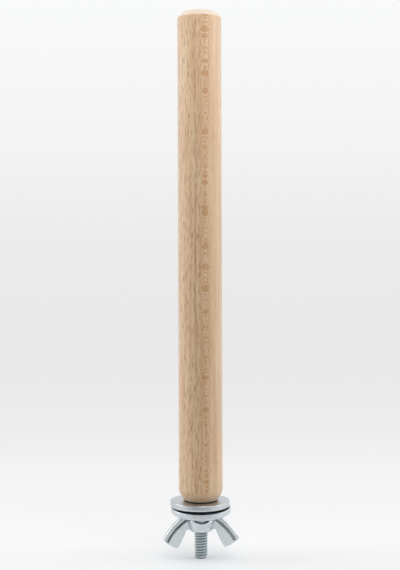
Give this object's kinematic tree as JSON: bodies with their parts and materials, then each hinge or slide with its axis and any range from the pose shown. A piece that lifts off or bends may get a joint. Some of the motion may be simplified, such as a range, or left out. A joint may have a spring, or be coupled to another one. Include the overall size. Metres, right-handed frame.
{
  "type": "bird perch",
  "caption": "Straight wooden dowel perch with a threaded stud in one end, clamped to a cage wall between broad washers by a wing nut.",
  "frame": {"origin": "on the stud's axis, on the face of the inner washer that presses on the cage wall", "axes": "+Z along the dowel towards its free end, the stud points along -Z, -Y is the side the picture shows and +X is to its right"},
  "size_m": [0.0356, 0.0279, 0.2557],
  "materials": {
    "beech": "sanded bare beech",
    "stud_zinc": "zinc plated",
    "washer_zinc": "bright zinc plated",
    "nut_zinc": "bright zinc plated"
  },
  "bodies": {
    "outer_clamp": {"outer_washer": "washer_zinc"},
    "nut": {"wing_nut": "nut_zinc"},
    "perch": {"perch_rod": "beech", "hanger_bolt": "stud_zinc"},
    "inner_clamp": {"inner_washer": "washer_zinc"}
  },
  "joints": [
    {"name": "nut_turn", "type": "hinge", "parent": "outer_clamp", "child": "nut", "pos_m": [0, 0, 0], "axis": [0, 0, -1], "range_deg": [0, 5310]},
    {"name": "perch_draw", "type": "slide", "parent": "outer_clamp", "child": "perch", "axis": [0, 0, 1], "range_m": [0, 0.01873]},
    {"name": "inner_washer_spin", "type": "hinge", "parent": "perch", "child": "inner_clamp", "pos_m": [0, 0, 0], "axis": [0, 0, 1], "continuous": true}
  ],
  "couplings": [
    {"joint": "nut_turn", "follows": "perch_draw", "rad_per_m": 4947.4}
  ]
}
